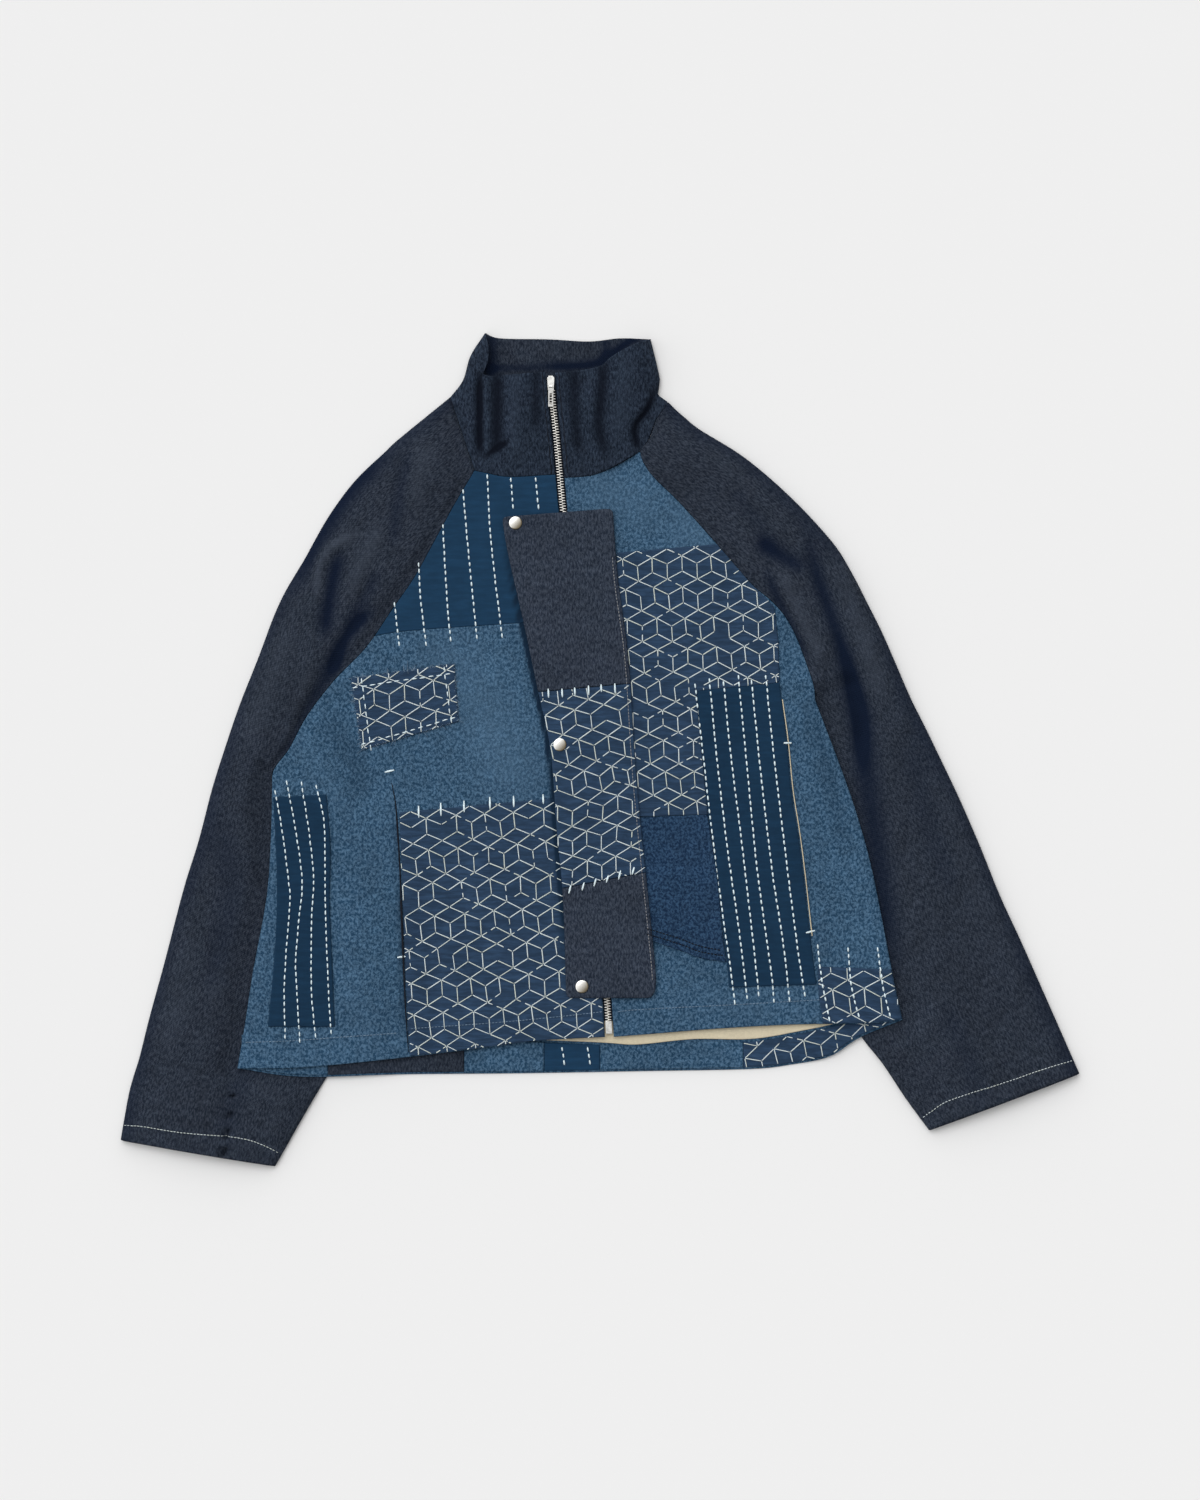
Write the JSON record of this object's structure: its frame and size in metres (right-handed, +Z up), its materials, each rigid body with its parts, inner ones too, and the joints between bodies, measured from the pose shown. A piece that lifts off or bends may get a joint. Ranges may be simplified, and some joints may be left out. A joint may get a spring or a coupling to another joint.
{
  "type": "patched boro jacket laid flat",
  "caption": "Raglan zip jacket of patched denim and sashiko-stitched cotton, laid flat, with a funnel collar and a snapped storm placket.",
  "frame": {"origin": "on the surface that the jacket lies on, under the middle of its whole outline", "axes": "+Z up out of the surface, +Y from the hem towards the collar, +X towards the wearer's left arm"},
  "size_m": [0.91, 0.7907, 0.0186],
  "materials": {
    "denim_dark": "dark raw denim, fine light flecks",
    "denim_light": "stonewashed denim, mottled",
    "denim_worn": "worn mid-blue jeans cloth",
    "navy_cotton": "plain navy cotton",
    "sashiko_cloth": "slubby indigo cotton",
    "beige_cotton": "plain beige cotton",
    "cream_thread": "thick cream sashiko thread",
    "zip_tape": "woven tape",
    "zip_metal": "polished nickel",
    "snap_metal": "polished nickel"
  },
  "bodies": {
    "jacket": {"back_hem_facing_1": "denim_light", "back_hem_facing_2": "denim_dark", "back_hem_facing_3": "denim_light", "back_hem_facing_4": "navy_cotton", "back_hem_facing_5": "denim_light", "back_hem_facing_6": "sashiko_cloth", "back_lining": "beige_cotton", "back_panel": "denim_light", "collar_back": "denim_dark", "collar_front_left": "denim_dark", "collar_front_right": "denim_dark", "left_chest_panel": "sashiko_cloth", "left_corner_patch": "sashiko_cloth", "left_front_body": "denim_light", "left_jeans_patch": "denim_worn", "left_pocket_welt": "beige_cotton", "left_sleeve": "denim_dark", "left_stripe_panel": "navy_cotton", "placket_bottom": "denim_dark", "placket_middle": "sashiko_cloth", "placket_top": "denim_dark", "right_chest_patch": "sashiko_cloth", "right_front_body": "denim_light", "right_pocket_panel": "sashiko_cloth", "right_side_patch": "navy_cotton", "right_sleeve": "denim_dark", "right_yoke": "navy_cotton", "snap_cap_1": "snap_metal", "snap_cap_2": "snap_metal", "snap_cap_3": "snap_metal", "zip_chain": "zip_metal", "zip_end_box": "zip_metal", "zip_slider": "zip_metal", "zip_tape_left": "zip_tape", "zip_tape_right": "zip_tape"},
    "pull_tab": {"zip_pull_tab": "zip_metal"}
  },
  "joints": [
    {"name": "pull_tab_flip", "type": "hinge", "parent": "jacket", "child": "pull_tab", "pos_m": [-0.04652, 0.34369, 0.01718], "axis": [-1, 0, 0], "range_deg": [0, 150]}
  ]
}
